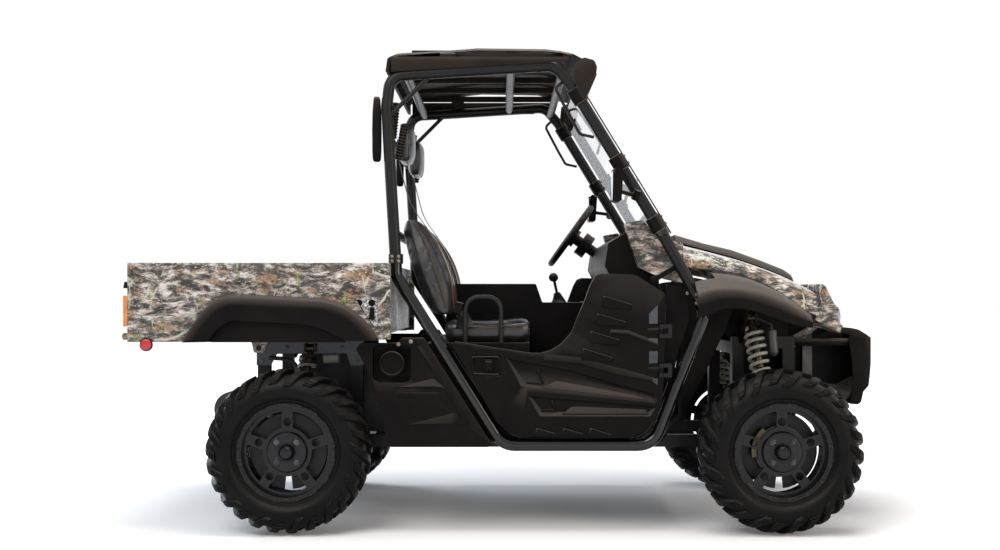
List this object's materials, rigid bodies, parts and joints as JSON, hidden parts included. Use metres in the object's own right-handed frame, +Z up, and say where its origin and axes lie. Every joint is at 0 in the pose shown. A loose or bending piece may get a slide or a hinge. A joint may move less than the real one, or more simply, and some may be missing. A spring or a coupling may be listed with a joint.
{
  "type": "side by side utv",
  "caption": "Side by side utility vehicle with a roll cage, hard roof, half doors, steering front wheels, opening hood and a tipping cargo bed with a tailgate.",
  "frame": {"origin": "on the ground, under the middle of the whole vehicle's length and width", "axes": "+X forward, +Y to the vehicle's left, +Z up"},
  "size_m": [3.028, 1.48, 1.925],
  "materials": {
    "tyre": "moulded rubber",
    "rim_black": "satin black enamel",
    "frame_black": "satin black powder coat",
    "tube_gloss_black": "gloss black enamel",
    "camo_panel": "film-printed woodland camouflage with a gloss coat",
    "black_plastic": "grained moulded plastic",
    "roof_plastic": "grained dark brown-black plastic",
    "seat_vinyl": "grained black vinyl",
    "belt_webbing": "woven webbing",
    "clear_screen": "clear polycarbonate",
    "lamp_lens": "clear moulded lens",
    "amber_lens": "moulded lens",
    "shock_grey": "light grey enamel",
    "cast_metal": "as cast",
    "engine_metal": "painted casting",
    "steel": "plain steel"
  },
  "bodies": {
    "chassis": {"chassis_frame": "frame_black", "side_tubes": "tube_gloss_black", "roll_cage": "frame_black", "roof": "roof_plastic", "windshield": "clear_screen", "windshield_clamps": "black_plastic", "door_hinges": "frame_black", "front_fenders": "black_plastic", "cowl_panels": "camo_panel", "kick_panels": "black_plastic", "nose_panel": "camo_panel", "headlamps": "lamp_lens", "front_bumper": "black_plastic", "radiator": "cast_metal", "floor_tub": "black_plastic", "seat_base": "black_plastic", "seat_cushions": "seat_vinyl", "seat_backs": "seat_vinyl", "headrests": "seat_vinyl", "seat_belts": "belt_webbing", "hip_rails": "frame_black", "grab_handles": "frame_black", "centre_console": "black_plastic", "gear_lever": "black_plastic", "dashboard": "black_plastic", "steering_column": "black_plastic", "side_mirrors": "black_plastic", "rear_side_panels": "black_plastic", "fuel_cap": "black_plastic", "engine_block": "engine_metal", "exhaust_silencer": "steel", "tow_hitch": "frame_black", "front_arms": "frame_black", "rear_arms": "frame_black", "shock_absorbers": "shock_grey", "drive_shafts": "steel", "rear_hubs": "cast_metal"},
    "bed": {"bed_box": "camo_panel", "bed_flares": "black_plastic", "tail_lamps": "amber_lens"},
    "tailgate": {"tailgate": "camo_panel"},
    "hood": {"hood": "camo_panel", "hood_scoop": "black_plastic"},
    "door_right": {"door_right": "black_plastic"},
    "door_left": {"door_left": "black_plastic"},
    "knuckle_front_right": {"knuckle_front_right": "cast_metal"},
    "knuckle_front_left": {"knuckle_front_left": "cast_metal"},
    "wheel_front_right": {"tyre_front_right": "tyre", "rim_front_right": "rim_black"},
    "wheel_front_left": {"tyre_front_left": "tyre", "rim_front_left": "rim_black"},
    "wheel_rear_right": {"tyre_rear_right": "tyre", "rim_rear_right": "rim_black"},
    "wheel_rear_left": {"tyre_rear_left": "tyre", "rim_rear_left": "rim_black"},
    "steering_wheel": {"steering_wheel": "black_plastic"},
    "steering_rack": {"tie_rods": "steel"}
  },
  "joints": [
    {"name": "steer_left", "type": "hinge", "parent": "chassis", "child": "knuckle_front_left", "pos_m": [1.051, 0.58, 0.322], "axis": [0, 0, 1], "range_deg": [-30, 30]},
    {"name": "steer_right", "type": "hinge", "parent": "chassis", "child": "knuckle_front_right", "pos_m": [1.051, -0.58, 0.322], "axis": [0, 0, 1], "range_deg": [-30, 30]},
    {"name": "wheel_front_left_roll", "type": "hinge", "parent": "knuckle_front_left", "child": "wheel_front_left", "pos_m": [1.051, 0.6325, 0.322], "axis": [0, 1, 0], "continuous": true},
    {"name": "wheel_front_right_roll", "type": "hinge", "parent": "knuckle_front_right", "child": "wheel_front_right", "pos_m": [1.051, -0.6325, 0.322], "axis": [0, 1, 0], "continuous": true},
    {"name": "wheel_rear_left_roll", "type": "hinge", "parent": "chassis", "child": "wheel_rear_left", "pos_m": [-0.874, 0.613, 0.322], "axis": [0, 1, 0], "continuous": true},
    {"name": "wheel_rear_right_roll", "type": "hinge", "parent": "chassis", "child": "wheel_rear_right", "pos_m": [-0.874, -0.613, 0.322], "axis": [0, 1, 0], "continuous": true},
    {"name": "tie_rod_slide", "type": "slide", "parent": "chassis", "child": "steering_rack", "axis": [0, -1, 0], "range_m": [-0.056, 0.056]},
    {"name": "steering_wheel_turn", "type": "hinge", "parent": "chassis", "child": "steering_wheel", "pos_m": [0.282, 0.3, 1.208], "axis": [-0.8131, 0, 0.5821], "range_deg": [-271, 271]},
    {"name": "door_left_hinge", "type": "hinge", "parent": "chassis", "child": "door_left", "pos_m": [0.584, 0.655, 0.7], "axis": [0, 0, -1], "range_deg": [0, 70]},
    {"name": "door_right_hinge", "type": "hinge", "parent": "chassis", "child": "door_right", "pos_m": [0.584, -0.655, 0.7], "axis": [0, 0, 1], "range_deg": [0, 70]},
    {"name": "bed_tip", "type": "hinge", "parent": "chassis", "child": "bed", "pos_m": [-1.049, 0, 0.712], "axis": [0, -1, 0], "range_deg": [0, 45]},
    {"name": "tailgate_drop", "type": "hinge", "parent": "bed", "child": "tailgate", "pos_m": [-1.499, 0, 0.771], "axis": [0, -1, 0], "range_deg": [0, 90]},
    {"name": "hood_open", "type": "hinge", "parent": "chassis", "child": "hood", "pos_m": [1.253, 0, 0.955], "axis": [0, 1, 0], "range_deg": [0, 50]}
  ],
  "couplings": [
    {"joint": "steer_right", "follows": "steer_left", "ratio": 1},
    {"joint": "tie_rod_slide", "follows": "steer_left", "m_per_rad": 0.105},
    {"joint": "steering_wheel_turn", "follows": "steer_left", "ratio": 9}
  ]
}
